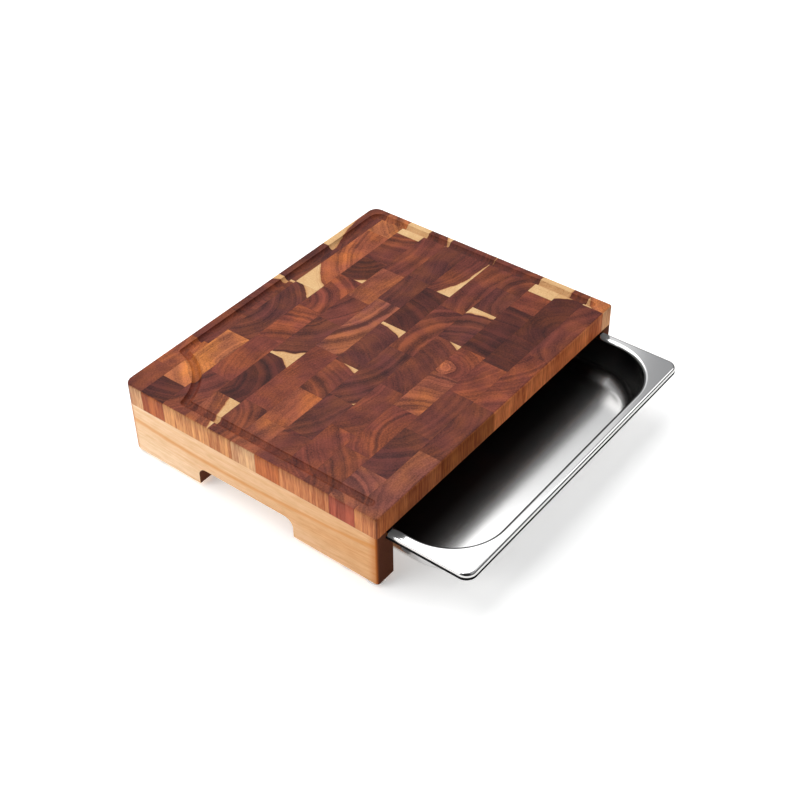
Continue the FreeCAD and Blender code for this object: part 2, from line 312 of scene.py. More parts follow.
end_grain, tree = new_material("acacia_end_grain_oiled")
place = add(tree, "ShaderNodeTexCoord", out="Object")
height = add(tree, "ShaderNodeSeparateXYZ", {0: place}, out="Z")
column = add(tree, "ShaderNodeVectorMath", {0: place, 1: SQUEEZE_Z}, operation="MULTIPLY")
pith = add(tree, "ShaderNodeAttribute", out="Vector", attribute_name="pith")
figure = add(tree, "ShaderNodeAttribute", out="Vector", attribute_name="figure")
tone = add(tree, "ShaderNodeAttribute", out="Vector", attribute_name="tone")
seed = add(tree, "ShaderNodeSeparateXYZ", {0: figure}, out="X")
strength = add(tree, "ShaderNodeSeparateXYZ", {0: figure}, out="Y")
core_radius = add(tree, "ShaderNodeSeparateXYZ", {0: figure}, out="Z")
heart_radius = add(tree, "ShaderNodeSeparateXYZ", {0: pith}, out="Z")
print("read from each block:", [node.attribute_name for node in tree.nodes if node.type == "ATTRIBUTE"])

# %% the distance from the pith, bent
WAVE_LENGTH, WAVE_DEPTH = 40 * MM, 12 * MM            # slow bends of the rings
TREMBLE_LENGTH, TREMBLE_DEPTH = 6.667 * MM, 2.5 * MM  # small bends on them
CENTRED = (0.5, 0.5, 0.5)                             # noise runs from 0 to 1 about this

wave = add(tree, "ShaderNodeTexNoise", {"Vector": column, "W": seed, "Scale": 1 / WAVE_LENGTH, "Detail": 2},
           out="Color", noise_dimensions="4D")
wave = add(tree, "ShaderNodeVectorMath", {0: wave, 1: CENTRED}, operation="SUBTRACT")
wave = add(tree, "ShaderNodeVectorMath", {0: wave, "Scale": WAVE_DEPTH}, operation="SCALE")
tremble = add(tree, "ShaderNodeTexNoise",
              {"Vector": column, "W": seed, "Scale": 1 / TREMBLE_LENGTH, "Detail": 3},
              out="Color", noise_dimensions="4D")
tremble = add(tree, "ShaderNodeVectorMath", {0: tremble, 1: CENTRED}, operation="SUBTRACT")
tremble = add(tree, "ShaderNodeVectorMath", {0: tremble, "Scale": TREMBLE_DEPTH}, operation="SCALE")
bent = add(tree, "ShaderNodeVectorMath", {0: column, 1: wave}, operation="ADD")
bent = add(tree, "ShaderNodeVectorMath", {0: bent, 1: tremble}, operation="ADD")
from_pith = add(tree, "ShaderNodeVectorMath", {0: bent, 1: pith}, operation="SUBTRACT")
from_pith = add(tree, "ShaderNodeVectorMath", {0: from_pith, 1: (1, 1, 0)}, operation="MULTIPLY")
radius = add(tree, "ShaderNodeVectorMath", {0: from_pith}, out="Value", operation="LENGTH")
print("rings bend by up to", round((WAVE_DEPTH + TREMBLE_DEPTH) / 2 / MM, 1), "mm")

# %% growth rings: uneven soft bands with finer ones in them, and a few thin dark lines
RING_WIDTH = 4 * MM
BAND_SEED, LINE_SEED = 31, 57  # so that bands and lines fall in different places
BANDS_PER_RING, LINES_PER_RING = 0.55, 0.5
LINE_LEVEL = 0.44              # a line lies where its noise passes this value
LINE_REACH = 0.022             # and fades out this far above and below it

ring_count = add(tree, "ShaderNodeMath", {0: radius, 1: RING_WIDTH}, operation="DIVIDE")
ring_seed = add(tree, "ShaderNodeMath", {0: seed, 1: BAND_SEED, 2: ring_count}, operation="MULTIPLY_ADD")
band = add(tree, "ShaderNodeTexNoise",
           {"W": ring_seed, "Scale": BANDS_PER_RING, "Detail": 4, "Roughness": 0.6}, noise_dimensions="1D")
band = add(tree, "ShaderNodeMapRange", {0: band, 1: 0.28, 2: 0.72})
line_seed = add(tree, "ShaderNodeMath", {0: seed, 1: LINE_SEED, 2: ring_count}, operation="MULTIPLY_ADD")
line = add(tree, "ShaderNodeTexNoise", {"W": line_seed, "Scale": LINES_PER_RING, "Detail": 2},
           noise_dimensions="1D")
line = add(tree, "ShaderNodeMath", {0: line, 1: LINE_LEVEL}, operation="SUBTRACT")
line = add(tree, "ShaderNodeMath", {0: line}, operation="ABSOLUTE")
line = add(tree, "ShaderNodeMapRange", {0: line, 1: 0.0, 2: LINE_REACH, 3: 1, 4: 0},
           interpolation_type="SMOOTHSTEP")
print("a ring is about", RING_WIDTH / MM, "mm wide")

# %% [markdown]
# The heartwood is the block's own tone, darker and lighter with the rings, in soft clouds and from fibre to
# fibre.  The three are added up to one shade, and a wider patchiness turns parts of it golden or ruddy, as
# acacia does.  A knot, where a branch was, has a pale core with a dark rim.

# %% heartwood
CLOUD_SIZE = 23.81 * MM
FIBRE_SPACING = 1.613 * MM     # real fibres are far finer; drawn as coarse as shows
PATCH_SIZE = 33.33 * MM
BAND_SHARE, CLOUD_SHARE, FIBRE_SHARE = 0.90, 0.55, 0.70
DARK_WOOD = (0.415, 0.375, 0.45)   # these five are what the tone is multiplied by
LIGHT_WOOD = (1.66, 1.74, 1.66)
GOLDEN = (1.28, 1.30, 0.86)
RUDDY = (0.90, 0.86, 0.98)
DARK_LINE = (0.42, 0.36, 0.40)

cloud = add(tree, "ShaderNodeTexNoise",
            {"Vector": bent, "W": seed, "Scale": 1 / CLOUD_SIZE, "Detail": 3, "Roughness": 0.55},
            noise_dimensions="4D")
cloud = add(tree, "ShaderNodeMapRange", {0: cloud, 1: 0.3, 2: 0.7})
fibre = add(tree, "ShaderNodeTexNoise",
            {"Vector": column, "Scale": 1 / FIBRE_SPACING, "Detail": 2.5, "Roughness": 0.7})
fibre = add(tree, "ShaderNodeMapRange", {0: fibre, 1: 0.25, 2: 0.75})
band_part = add(tree, "ShaderNodeMath", {0: band, 1: 0.5}, operation="SUBTRACT")
band_part = add(tree, "ShaderNodeMath", {0: band_part, 1: strength}, operation="MULTIPLY")
cloud_part = add(tree, "ShaderNodeMath", {0: cloud, 1: 0.5}, operation="SUBTRACT")
fibre_part = add(tree, "ShaderNodeMath", {0: fibre, 1: 0.5}, operation="SUBTRACT")
shade = add(tree, "ShaderNodeMath", {0: band_part, 1: BAND_SHARE, 2: 0.5}, operation="MULTIPLY_ADD")
shade = add(tree, "ShaderNodeMath", {0: cloud_part, 1: CLOUD_SHARE, 2: shade}, operation="MULTIPLY_ADD")
shade = add(tree, "ShaderNodeMath", {0: fibre_part, 1: FIBRE_SHARE, 2: shade}, operation="MULTIPLY_ADD",
            use_clamp=True)
dark_wood = add(tree, "ShaderNodeVectorMath", {0: tone, 1: DARK_WOOD}, operation="MULTIPLY")
light_wood = add(tree, "ShaderNodeVectorMath", {0: tone, 1: LIGHT_WOOD}, operation="MULTIPLY")
heart = add(tree, "ShaderNodeMix", {0: shade, 6: dark_wood, 7: light_wood}, out=2, data_type="RGBA")
patch = add(tree, "ShaderNodeTexNoise", {"Vector": bent, "W": seed, "Scale": 1 / PATCH_SIZE, "Detail": 2},
            noise_dimensions="4D")
patch = add(tree, "ShaderNodeMapRange", {0: patch, 1: 0.38, 2: 0.66}, interpolation_type="SMOOTHSTEP")
golden = add(tree, "ShaderNodeVectorMath", {0: heart, 1: GOLDEN}, operation="MULTIPLY")
ruddy = add(tree, "ShaderNodeVectorMath", {0: heart, 1: RUDDY}, operation="MULTIPLY")
heart = add(tree, "ShaderNodeMix", {0: patch, 6: ruddy, 7: golden}, out=2, data_type="RGBA")
lined = add(tree, "ShaderNodeVectorMath", {0: heart, 1: DARK_LINE}, operation="MULTIPLY")
line_depth = add(tree, "ShaderNodeMath", {0: line, 1: strength}, operation="MULTIPLY", use_clamp=True)
line_depth = add(tree, "ShaderNodeMath", {0: line_depth, 1: 0.45}, operation="MULTIPLY")
heart = add(tree, "ShaderNodeMix", {0: line_depth, 6: heart, 7: lined}, out=2, data_type="RGBA")
print("heartwood: clouds of", CLOUD_SIZE / MM, "mm, patches of", PATCH_SIZE / MM, "mm")

# %% a knot's pale core with its dark rim, where the block has one
CORE_FADE = 1.2 * MM
PALE_CORE = (2.2, 2.6, 2.0)

past_core = add(tree, "ShaderNodeMath", {0: radius, 1: core_radius}, operation="SUBTRACT")
is_core = add(tree, "ShaderNodeMapRange", {0: past_core, 1: -CORE_FADE, 2: 0, 3: 1, 4: 0},
              interpolation_type="SMOOTHSTEP")
core_wood = add(tree, "ShaderNodeVectorMath", {0: heart, 1: PALE_CORE}, operation="MULTIPLY")
core_rim = add(tree, "ShaderNodeMath", {0: past_core}, operation="ABSOLUTE")
core_rim = add(tree, "ShaderNodeMapRange", {0: core_rim, 1: 0.2 * MM, 2: CORE_FADE, 3: 0.7, 4: 0})
heart = add(tree, "ShaderNodeMix", {0: is_core, 6: heart, 7: core_wood}, out=2, data_type="RGBA")
heart = add(tree, "ShaderNodeMix", {0: core_rim, 6: heart, 7: lined}, out=2, data_type="RGBA")
print("knots:", len(KNOTS))

# %% [markdown]
# Sapwood begins sharply where the heartwood's radius ends, and nearly all of acacia's contrast is there.
# It is cream to tan, with a thin brown line along its inner edge.

# %% sapwood
sap_shade = add(tree, "ShaderNodeMix", {0: 0.5, 2: cloud, 3: fibre})
sap_tone = add(tree, "ShaderNodeMix", {0: sap_shade, 6: linear("#bd8550"), 7: linear("#e6c592")},
               out=2, data_type="RGBA")
sap_line = add(tree, "ShaderNodeMath", {0: line, 1: 0.35}, operation="MULTIPLY")
sapwood = add(tree, "ShaderNodeMix", {0: sap_line, 6: sap_tone, 7: linear("#a9683e")},
              out=2, data_type="RGBA")
past_heart = add(tree, "ShaderNodeMath", {0: radius, 1: heart_radius}, operation="SUBTRACT")
near_heart = add(tree, "ShaderNodeMapRange", {0: past_heart, 1: 0.2 * MM, 2: 2.2 * MM, 3: 0.55, 4: 0})
sapwood = add(tree, "ShaderNodeMix", {0: near_heart, 6: sapwood, 7: linear("#b06e3c")},
              out=2, data_type="RGBA")
is_sap = add(tree, "ShaderNodeMapRange", {0: past_heart, 1: -0.2 * MM, 2: 0.3 * MM},
             interpolation_type="SMOOTHSTEP")
wood = add(tree, "ShaderNodeMix", {0: is_sap, 6: heart, 7: sapwood}, out=2, data_type="RGBA")
print("blocks with sapwood:", sum(block[3] < ALL_HEART for row in BLOCKS for block in row))

# %% [markdown]
# ## Groove shade, vessels and the pale sides
# Three things lie over the rings.  The juice groove is darkened warmly, the deeper the more: painted shade in
# the recess.
# The vessels, the wood's open tubes, show as small dark dots.  And on the outer faces, past the sanded
# edge, end grain gives way to the long grain of the side tones.

# %% painted shade in the juice groove, by depth
GROOVE_DEPTH = 3.5 * MM
GROOVE_PAINTED_SHADE = (0.84, 0.73, 0.66)

depth = add(tree, "ShaderNodeMapRange", {0: height, 1: -GROOVE_DEPTH, 2: -0.3 * MM, 3: 1, 4: 0})
# the groove's colour is darkened by depth: painted shade
groove_shaded = add(tree, "ShaderNodeVectorMath", {0: wood, 1: GROOVE_PAINTED_SHADE}, operation="MULTIPLY")
wood = add(tree, "ShaderNodeMix", {0: depth, 6: wood, 7: groove_shaded}, out=2, data_type="RGBA")
print("groove oil is full at", GROOVE_DEPTH / MM, "mm")

# %% vessels: small dark dots, drawn out into short streaks on the sides
PORE_SPACING = 1.1 * MM        # the real vessels are about 0.2 mm; drawn coarser so that they show
PORE_DARK = (0.55, 0.5, 0.5)

dots = add(tree, "ShaderNodeTexVoronoi", {"Vector": column, "Scale": 1 / PORE_SPACING})
dots = add(tree, "ShaderNodeMapRange", {0: dots, 1: 0.16, 2: 0.30, 3: 1, 4: 0},
           interpolation_type="SMOOTHSTEP")
dotted = add(tree, "ShaderNodeVectorMath", {0: wood, 1: PORE_DARK}, operation="MULTIPLY")
dot_depth = add(tree, "ShaderNodeMath", {0: dots, 1: 0.35}, operation="MULTIPLY")
wood = add(tree, "ShaderNodeMix", {0: dot_depth, 6: wood, 7: dotted}, out=2, data_type="RGBA")
print("vessels every", PORE_SPACING / MM, "mm")

# %% how far a point reaches past the flat top
OUTER_ROUND = 2 * MM           # width of the sanded edge, where end grain turns into long grain

reach = add(tree, "ShaderNodeVectorMath", {0: place}, operation="ABSOLUTE")
reach = add(tree, "ShaderNodeVectorMath",
            {0: reach, 1: (BOARD_HALF_WIDTH - OUTER_ROUND, BOARD_HALF_DEPTH - OUTER_ROUND, 0)},
            operation="SUBTRACT")
reach_x = add(tree, "ShaderNodeSeparateXYZ", {0: reach}, out="X")
reach_y = add(tree, "ShaderNodeSeparateXYZ", {0: reach}, out="Y")
reach = add(tree, "ShaderNodeMath", {0: reach_x, 1: reach_y}, operation="MAXIMUM")
is_side = add(tree, "ShaderNodeMapRange", {0: reach, 1: 0.9 * MM, 2: 1.9 * MM},
              interpolation_type="SMOOTHSTEP")
is_front = add(tree, "ShaderNodeMath", {0: reach_y, 1: reach_x}, operation="GREATER_THAN")
print("long grain begins in the last", OUTER_ROUND / MM, "mm")

# %% long grain on the outer faces
STREAK_FIBRE, STREAK_CLOUD, STREAK_BAND = 1.05, 0.7, 0.8
PLANK_DARK = (0.60, 0.42, 0.36)
PLANK_LIGHT = (1.34, 1.52, 1.56)
DARKER_TOP_DEPTH = 10 * MM           # the sides are darker towards the top over this depth

side_plank = add(tree, "ShaderNodeAttribute", out="Vector", attribute_name="side_plank")
front_plank = add(tree, "ShaderNodeAttribute", out="Vector", attribute_name="front_plank")
plank = add(tree, "ShaderNodeMix", {0: is_front, 6: side_plank, 7: front_plank}, out=2, data_type="RGBA")
streak = add(tree, "ShaderNodeMath", {0: fibre_part, 1: STREAK_FIBRE, 2: 0.5}, operation="MULTIPLY_ADD")
streak = add(tree, "ShaderNodeMath", {0: cloud_part, 1: STREAK_CLOUD, 2: streak}, operation="MULTIPLY_ADD")
streak = add(tree, "ShaderNodeMath", {0: band_part, 1: STREAK_BAND, 2: streak}, operation="MULTIPLY_ADD",
             use_clamp=True)
plank_dark = add(tree, "ShaderNodeVectorMath", {0: plank, 1: PLANK_DARK}, operation="MULTIPLY")
plank_light = add(tree, "ShaderNodeVectorMath", {0: plank, 1: PLANK_LIGHT}, operation="MULTIPLY")
plank = add(tree, "ShaderNodeMix", {0: streak, 6: plank_dark, 7: plank_light}, out=2, data_type="RGBA")
darker_top = add(tree, "ShaderNodeMapRange", {0: height, 1: -DARKER_TOP_DEPTH, 2: 0, 3: 1.05, 4: 0.72})
plank = add(tree, "ShaderNodeVectorMath", {0: plank, "Scale": darker_top}, operation="SCALE")
wood = add(tree, "ShaderNodeMix", {0: is_side, 6: wood, 7: plank}, out=2, data_type="RGBA")
print("side tones in use:", len(set(LEFT_FACE + FRONT_FACE)), "of", len(LONG_GRAIN))

# %% painted shade on the underside: faces turned down are darkened, and the steel below mirrors them dark
UNDERSIDE_PAINTED_SHADE = (0.15, 0.15, 0.17)

facing = add(tree, "ShaderNodeNewGeometry", out="True Normal")
facing = add(tree, "ShaderNodeSeparateXYZ", {0: facing}, out="Z")
is_under = add(tree, "ShaderNodeMapRange", {0: facing, 1: -0.9, 2: -0.5, 3: 1, 4: 0})
shaded_underside = add(tree, "ShaderNodeVectorMath", {0: wood, 1: UNDERSIDE_PAINTED_SHADE}, operation="MULTIPLY")
wood = add(tree, "ShaderNodeMix", {0: is_under, 6: wood, 7: shaded_underside}, out=2, data_type="RGBA")
print("underside: times", UNDERSIDE_PAINTED_SHADE)

# %% [markdown]
# ## Glue joints and shine
# A glue joint is a thin darker line round each block: the distance to the nearest side of the block's cell
# gives it.  Oil leaves the surface satin, a little rougher on the early wood, with the vessels as fine pits.

# %% glue joints
GLUE_LINE = 0.22 * MM
GLUE_DARK = (0.45, 0.42, 0.42)

to_low = add(tree, "ShaderNodeAttribute", out="Vector", attribute_name="cell_low")
to_low = add(tree, "ShaderNodeVectorMath", {0: place, 1: to_low}, operation="SUBTRACT")
to_high = add(tree, "ShaderNodeAttribute", out="Vector", attribute_name="cell_high")
to_high = add(tree, "ShaderNodeVectorMath", {0: to_high, 1: place}, operation="SUBTRACT")
to_edge = add(tree, "ShaderNodeVectorMath", {0: to_low, 1: to_high}, operation="MINIMUM")
edge_x = add(tree, "ShaderNodeSeparateXYZ", {0: to_edge}, out="X")
edge_y = add(tree, "ShaderNodeSeparateXYZ", {0: to_edge}, out="Y")
to_edge = add(tree, "ShaderNodeMath", {0: edge_x, 1: edge_y}, operation="MINIMUM")
is_glue = add(tree, "ShaderNodeMapRange", {0: to_edge, 1: 0.3 * GLUE_LINE, 2: GLUE_LINE, 3: 0.55, 4: 0})
glued = add(tree, "ShaderNodeVectorMath", {0: wood, 1: GLUE_DARK}, operation="MULTIPLY")
wood = add(tree, "ShaderNodeMix", {0: is_glue, 6: wood, 7: glued}, out=2, data_type="RGBA")
print("glue line:", round(2 * GLUE_LINE / MM, 2), "mm over both blocks")

# %% the oiled surface
OIL_IOR = 1.47
PORE_PIT = -0.6                # how far a vessel lies below the fibres, as a share of the relief

shine = add(tree, "ShaderNodeMapRange", {0: band, 1: 0, 2: 1, 3: 0.44, 4: 0.56})
relief = add(tree, "ShaderNodeMath", {0: dots, 1: PORE_PIT, 2: fibre}, operation="MULTIPLY_ADD")
bumps = add(tree, "ShaderNodeBump", {"Strength": 0.35, "Distance": 0.08 * MM, "Height": relief},
            out="Normal")
surface = add(tree, "ShaderNodeBsdfPrincipled",
              {"Base Color": wood, "Roughness": shine, "Normal": bumps, "IOR": OIL_IOR,
               "Specular IOR Level": 0.16})
add(tree, "ShaderNodeOutputMaterial", {"Surface": surface})
for piece in rows:
    piece.data.materials.append(end_grain)
print("end-grain material:", len(tree.nodes), "nodes")

# %% [markdown]
# ## The side rails
# The rails are of pale plantation wood, sawn along the grain and oiled.  Seen from the side, the growth
# layers are long lines along Y that wander together; one stripe is a darker orange.  Their sawn ends and
# the walls of the arch are end grain, which the oil has turned brown.  A layer coordinate, the height above
# the darker stripe, gives all of this: the stripe's height is a parabola along the rail.

# %% the layer coordinate
STRIPE_LOW = -42.5 * MM        # the stripe's lowest point
STRIPE_Y = 30 * MM             # where along the rail that is
STRIPE_RISE = 11.5 * MM        # how much higher it is at the front
STRIPE_RUN = 170 * MM
LAYER_LEAN = 0.5               # how much the layers drop per length into the rail
WANDER_LENGTH, WANDER_DEPTH = 11.11 * MM, 6 * MM   # across the grain
LAYERS_DRAWN, FIBRES_DRAWN, MOTTLE_DRAWN = (1, 0.06, 1), (1, 0.05, 1), (1, 0.3, 1)   # longer along Y

rail_wood, tree = new_material("rubberwood_long_grain_oiled")
place = add(tree, "ShaderNodeTexCoord", out="Object")
x = add(tree, "ShaderNodeSeparateXYZ", {0: place}, out="X")
y = add(tree, "ShaderNodeSeparateXYZ", {0: place}, out="Y")
z = add(tree, "ShaderNodeSeparateXYZ", {0: place}, out="Z")
along = add(tree, "ShaderNodeMath", {0: y, 1: STRIPE_Y}, operation="SUBTRACT")
along = add(tree, "ShaderNodeMath", {0: along, 1: STRIPE_RUN}, operation="DIVIDE")
bow = add(tree, "ShaderNodeMath", {0: along, 1: 2}, operation="POWER")
stripe = add(tree, "ShaderNodeMath", {0: bow, 1: STRIPE_RISE, 2: STRIPE_LOW}, operation="MULTIPLY_ADD")
layer = add(tree, "ShaderNodeMath", {0: z, 1: stripe}, operation="SUBTRACT")
inwards = add(tree, "ShaderNodeMath", {0: x}, operation="ABSOLUTE")
inwards = add(tree, "ShaderNodeMath", {0: BOARD_HALF_WIDTH, 1: inwards}, operation="SUBTRACT")
layer = add(tree, "ShaderNodeMath", {0: inwards, 1: LAYER_LEAN, 2: layer}, operation="MULTIPLY_ADD")
drawn_out = add(tree, "ShaderNodeVectorMath", {0: place, 1: LAYERS_DRAWN}, operation="MULTIPLY")
wander = add(tree, "ShaderNodeTexNoise", {"Vector": drawn_out, "Scale": 1 / WANDER_LENGTH, "Detail": 2})
wander = add(tree, "ShaderNodeMath", {0: wander, 1: 0.5}, operation="SUBTRACT")
layer = add(tree, "ShaderNodeMath", {0: wander, 1: WANDER_DEPTH, 2: layer}, operation="MULTIPLY_ADD")
print("stripe at", round((STRIPE_LOW + STRIPE_RISE) / MM, 1), "mm at the front")

# %% growth, fibres and clouds in the rail, and a painted highlight towards the back
LAYER_WIDTH = 3.2 * MM
RAIL_FIBRE = 0.7692 * MM       # drawn coarser than real fibres, so that they show
MOTTLE_SIZE = 3.846 * MM
RAIL_CLOUD = 33.33 * MM
LATE_GROWTH = (0.90, 0.78, 0.62)   # these three are what the honey colour is multiplied by
LIGHT_FIBRES = (1.09, 1.10, 1.12)
DARK_FIBRES = (0.90, 0.82, 0.70)

growth = add(tree, "ShaderNodeMath", {0: layer, 1: LAYER_WIDTH}, operation="DIVIDE")
growth = add(tree, "ShaderNodeTexNoise", {"W": growth, "Scale": 1, "Detail": 3}, noise_dimensions="1D")
growth = add(tree, "ShaderNodeMapRange", {0: growth, 1: 0.36, 2: 0.68}, interpolation_type="SMOOTHSTEP")
fibre_place = add(tree, "ShaderNodeVectorMath", {0: place, 1: FIBRES_DRAWN}, operation="MULTIPLY")
fibres = add(tree, "ShaderNodeTexNoise",
             {"Vector": fibre_place, "Scale": 1 / RAIL_FIBRE, "Detail": 2, "Roughness": 0.7})
mottle_place = add(tree, "ShaderNodeVectorMath", {0: place, 1: MOTTLE_DRAWN}, operation="MULTIPLY")
mottle = add(tree, "ShaderNodeTexNoise", {"Vector": mottle_place, "Scale": 1 / MOTTLE_SIZE, "Detail": 3})
cloud = add(tree, "ShaderNodeTexNoise", {"Vector": drawn_out, "Scale": 1 / RAIL_CLOUD, "Detail": 2})
cloud = add(tree, "ShaderNodeMapRange", {0: cloud, 1: 0.3, 2: 0.7, 3: -0.3, 4: 0.3})
# towards the back the rail is painted paler: a painted highlight where more light falls, added to the wood's
# own clouds
painted_light_to_back = add(tree, "ShaderNodeMapRange", {0: y, 1: BOARD_FRONT, 2: BOARD_HALF_DEPTH})
cloud_and_painted_light = add(tree, "ShaderNodeMath", {0: cloud, 1: painted_light_to_back}, operation="ADD", use_clamp=True)
honey = add(tree, "ShaderNodeMix", {0: cloud_and_painted_light, 6: linear("#d6a678"), 7: linear("#e6c9aa")}, out=2,
            data_type="RGBA")
grown = add(tree, "ShaderNodeVectorMath", {0: honey, 1: LATE_GROWTH}, operation="MULTIPLY")
growth = add(tree, "ShaderNodeMath", {0: growth, 1: 0.55}, operation="MULTIPLY")
honey = add(tree, "ShaderNodeMix", {0: growth, 6: honey, 7: grown}, out=2, data_type="RGBA")
grain = add(tree, "ShaderNodeMix", {0: 0.5, 2: fibres, 3: mottle})
grain = add(tree, "ShaderNodeMapRange", {0: grain, 1: 0.32, 2: 0.68})
bright = add(tree, "ShaderNodeVectorMath", {0: honey, 1: LIGHT_FIBRES}, operation="MULTIPLY")
dusky = add(tree, "ShaderNodeVectorMath", {0: honey, 1: DARK_FIBRES}, operation="MULTIPLY")
honey = add(tree, "ShaderNodeMix", {0: grain, 6: bright, 7: dusky}, out=2, data_type="RGBA")
near = add(tree, "ShaderNodeMath", {0: layer}, operation="ABSOLUTE")
near = add(tree, "ShaderNodeMapRange", {0: near, 1: 0.6 * MM, 2: 3.6 * MM, 3: 0.6, 4: 0},
           interpolation_type="SMOOTHSTEP")
wood = add(tree, "ShaderNodeMix", {0: near, 6: honey, 7: linear("#cd8740")}, out=2, data_type="RGBA")
print("growth layers about", LAYER_WIDTH / MM, "mm wide")

# %% the sawn ends: the wood is browner over the last millimetres towards them
BROWNER_REACH = 11 * MM

end_reach = add(tree, "ShaderNodeMath", {0: y}, operation="ABSOLUTE")
end_reach = add(tree, "ShaderNodeMapRange",
                {0: end_reach, 1: BOARD_HALF_DEPTH - BROWNER_REACH, 2: BOARD_HALF_DEPTH, 3: 0, 4: 0.7},
                interpolation_type="SMOOTHSTEP")
wood = add(tree, "ShaderNodeMix", {0: end_reach, 6: wood, 7: linear("#b9682c")}, out=2, data_type="RGBA")
facing = add(tree, "ShaderNodeNewGeometry", out="Normal")
facing = add(tree, "ShaderNodeSeparateXYZ", {0: facing}, out="Y")
facing = add(tree, "ShaderNodeMath", {0: facing}, operation="ABSOLUTE")
is_turning = add(tree, "ShaderNodeMapRange", {0: facing, 1: 0.1, 2: 0.65})
is_end = add(tree, "ShaderNodeMapRange", {0: facing, 1: 0.5, 2: 0.98}, interpolation_type="SMOOTHSTEP")
wood = add(tree, "ShaderNodeMix", {0: is_turning, 6: wood, 7: linear("#a5551f")}, out=2, data_type="RGBA")
end_wood = add(tree, "ShaderNodeMix", {0: fibres, 6: linear("#72432e"), 7: linear("#47241a")},
               out=2, data_type="RGBA")
wood = add(tree, "ShaderNodeMix", {0: is_end, 6: wood, 7: end_wood}, out=2, data_type="RGBA")
print("browned over the last", BROWNER_REACH / MM, "mm")

# %% the rails' surface: dull, with raised fibres
bumps = add(tree, "ShaderNodeBump", {"Strength": 0.3, "Distance": 0.06 * MM, "Height": fibres},
            out="Normal")
surface = add(tree, "ShaderNodeBsdfPrincipled",
              {"Base Color": wood, "Roughness": 0.5, "Normal": bumps, "IOR": OIL_IOR,
               "Specular IOR Level": 0.04})
add(tree, "ShaderNodeOutputMaterial", {"Surface": surface})
for node in ("left_rail", "right_rail"):
    finish_node(node, rail_wood)
print("rail material:", len(tree.nodes), "nodes")

# %% [markdown]
# ## The steel tray
# The tray is one pressing of 0.8 mm stainless sheet.  Its skin is a profile carried round a rounded
# rectangle: up the lip, over a small bend, across the flange, down a rolled rim into the pan, down a wall
# that leans out by six degrees, and round a wide bend into the floor.  Each point of the profile says how
# far in from the flange's edge it lies, how high, and how round the rectangle's corners are there.  The
# under skin is the same profile one sheet thickness in, and both end at the lip's lower edge, so that the
# tray is one closed shell with smooth reflections.  A mirror shows every facet, so the normals are worked
# out from the profile as well, and don't depend on the grid.

# %% the tray's sizes
tray_low, tray_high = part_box("steel_tray")
TRAY_CENTRE = (tray_low + tray_high) / 2
HALF_X = (tray_high.x - tray_low.x) / 2
HALF_Y = (tray_high.y - tray_low.y) / 2
TOP = tray_high.z
BOTTOM = tray_low.z
SHEET = 0.8 * MM
LIP = 6.4 * MM
LIP_BEND = 3 * MM
FLANGE_CORNER = 10 * MM
FLANGE = 10 * MM               # flange edge to the pan's opening
OPENING_CORNER = 50 * MM
RIM_BEND = 4 * MM
FLOOR_BEND = 16 * MM
LEAN = radians(6)
print("tray in mm:", [round(2 * v / MM, 1) for v in (HALF_X, HALF_Y)],
      "deep", round((TOP - BOTTOM) / MM, 1))

# %% the profile of the sheet
TURN = pi / 2 - LEAN           # the wall's slope, and so how far both bends of the pan turn
BEND_STEPS = 14
CORNER_STEPS = 24
SIDE_STEPS = 12
# the lip's lowest rows are painted nearly black: a painted reflection of the shade under the tray
POLISHED, SATIN, PAINTED_DARK_EDGE = 1.0, 0.5, 0.0   # the finish of a row of points
PAINTED_DARK_BAND = 2.8 * MM             # the band along the lip's lower edge painted nearly black: a painted reflection of the shade under the tray
POLISH_START = 3.1 * MM        # above the lip's lower edge, as the painted band's height is


def tray_profile(skin):
    """Rows of (inset, height, corner radius, slope, polish), from the lip's lower edge to the pan's floor.

    skin is how far the row lies below the show side: 0 above, the sheet's thickness below.  slope is the
    angle of the skin's normal from straight up, positive where it leans outwards.  Along a bend that turns
    by t, the inset is its middle's plus or minus its radius times sin or cos t, and the height likewise."""
    bend = LIP_BEND - skin
    rows = [(skin, TOP - LIP, FLANGE_CORNER - skin, pi / 2, PAINTED_DARK_EDGE),
            (skin, TOP - LIP + PAINTED_DARK_BAND, FLANGE_CORNER - skin, pi / 2, PAINTED_DARK_EDGE),
            (skin, TOP - LIP + POLISH_START, FLANGE_CORNER - skin, pi / 2, POLISHED)]
    for turn in np.linspace(0, pi / 2, BEND_STEPS):
        inset = LIP_BEND - bend * cos(turn)
        height = TOP - LIP_BEND + bend * sin(turn)
        rows.append((inset, height, FLANGE_CORNER - inset, pi / 2 - turn, POLISHED))
    rim = RIM_BEND - skin
    rim_start = FLANGE - RIM_BEND * tan(TURN / 2)
    for turn in np.linspace(0, TURN, BEND_STEPS):
        inset = rim_start + rim * sin(turn)
        height = TOP - RIM_BEND + rim * cos(turn)
        rows.append((inset, height, OPENING_CORNER + FLANGE - inset, -turn, POLISHED))
    floor_top = BOTTOM + SHEET
    wall_foot = FLANGE + (TOP - floor_top) * tan(LEAN)
    bend_middle = wall_foot + FLOOR_BEND * tan(TURN / 2)
    floor_bend = FLOOR_BEND + skin
    for turn in np.linspace(TURN, 0, 2 * BEND_STEPS):
        inset = bend_middle - floor_bend * sin(turn)
        height = floor_top + FLOOR_BEND - floor_bend * cos(turn)
        rows.append((inset, height, OPENING_CORNER + FLANGE - inset, -turn, SATIN))
    return rows


print("rows in the profile:", len(tray_profile(0)))

# %% the profile carried round


